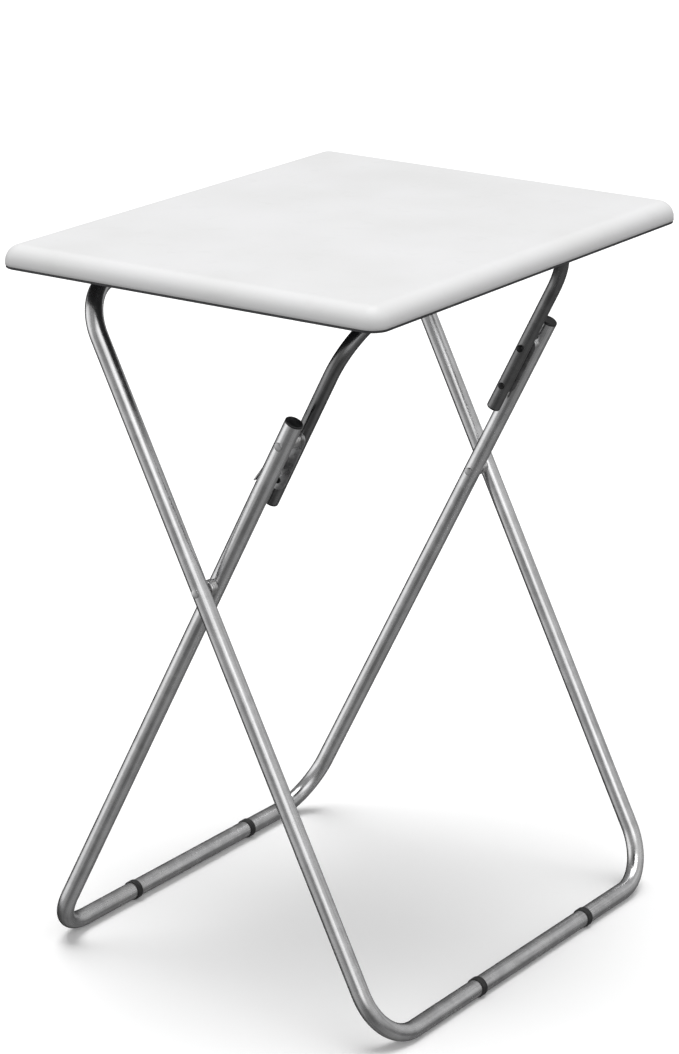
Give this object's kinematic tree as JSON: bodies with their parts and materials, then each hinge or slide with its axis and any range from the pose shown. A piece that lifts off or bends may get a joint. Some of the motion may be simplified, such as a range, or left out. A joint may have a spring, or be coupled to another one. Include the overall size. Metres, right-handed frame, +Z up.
{
  "type": "folding table",
  "caption": "Folding tray table: white rounded board on crossed tubular steel frames, with a hinged upper link that lets it fold flat.",
  "frame": {"origin": "on the floor, midway between the two floor bars", "axes": "+Z up, X across the crossed legs, Y along the floor bars; the outer frame's floor bar is at +X"},
  "size_m": [0.3975, 0.492, 0.66],
  "materials": {
    "white_film": "satin white film",
    "board": "raw fibreboard",
    "dark_backing": "dark laminate sheet",
    "nickel_tube": "satin nickel plate",
    "dark_nickel": "smoked nickel plate",
    "nickel_plate": "satin nickel plate",
    "steel_sleeve": "plain steel",
    "steel_rivet": "satin nickel plate",
    "zinc_screw": "bright zinc",
    "black_rivet": "black oxide",
    "black_plastic": "moulded plastic",
    "black_rubber": "matte rubber"
  },
  "bodies": {
    "outer_frame": {"outer_frame_tube": "nickel_tube", "outer_frame_splice": "steel_sleeve", "outer_foot_ring_front": "black_rubber", "outer_foot_ring_rear": "black_rubber", "cross_rivet_front": "steel_rivet", "cross_rivet_rear": "steel_rivet", "cross_spacer_front": "steel_sleeve", "cross_spacer_rear": "steel_sleeve"},
    "inner_frame": {"inner_frame_tube": "nickel_tube", "inner_leg_plug_front": "black_plastic", "inner_leg_plug_rear": "black_plastic", "inner_foot_ring_front": "black_rubber", "inner_foot_ring_rear": "black_rubber", "link_rivet_front": "steel_rivet", "link_rivet_rear": "steel_rivet", "link_rivet_cap_front": "black_rivet", "link_rivet_cap_rear": "black_rivet", "link_spacer_front": "steel_sleeve", "link_spacer_rear": "steel_sleeve"},
    "upper_link": {"upper_link_tube": "dark_nickel", "stop_plate_rivets": "black_rivet", "upper_link_plug_front": "black_plastic", "upper_link_plug_rear": "black_plastic", "stop_plate_front": "nickel_plate", "stop_plate_rear": "nickel_plate"},
    "tabletop": {"tabletop_core": "board", "tabletop_film": "white_film", "tabletop_backing_sheet": "dark_backing", "cradle_screws": "zinc_screw", "saddle_screws": "zinc_screw", "outer_bar_cradle_front": "black_plastic", "outer_bar_cradle_rear": "black_plastic", "link_bar_saddle_front": "black_plastic", "link_bar_saddle_rear": "black_plastic"}
  },
  "joints": [
    {"name": "frame_fold", "type": "hinge", "parent": "outer_frame", "child": "inner_frame", "pos_m": [0, 0, 0.38326], "axis": [0, -1, 0], "range_deg": [0, 50.8]},
    {"name": "link_swing", "type": "hinge", "parent": "inner_frame", "child": "upper_link", "pos_m": [0.06843, 0, 0.51877], "axis": [0, 1, 0], "range_deg": [0, 167.4]},
    {"name": "top_tilt", "type": "hinge", "parent": "upper_link", "child": "tabletop", "pos_m": [0.1246, 0, 0.63], "axis": [0, -1, 0], "range_deg": [0, 60]}
  ],
  "couplings": [
    {"joint": "link_swing", "follows": "frame_fold", "ratio": 3.2944},
    {"joint": "top_tilt", "follows": "frame_fold", "ratio": 1.1804}
  ]
}
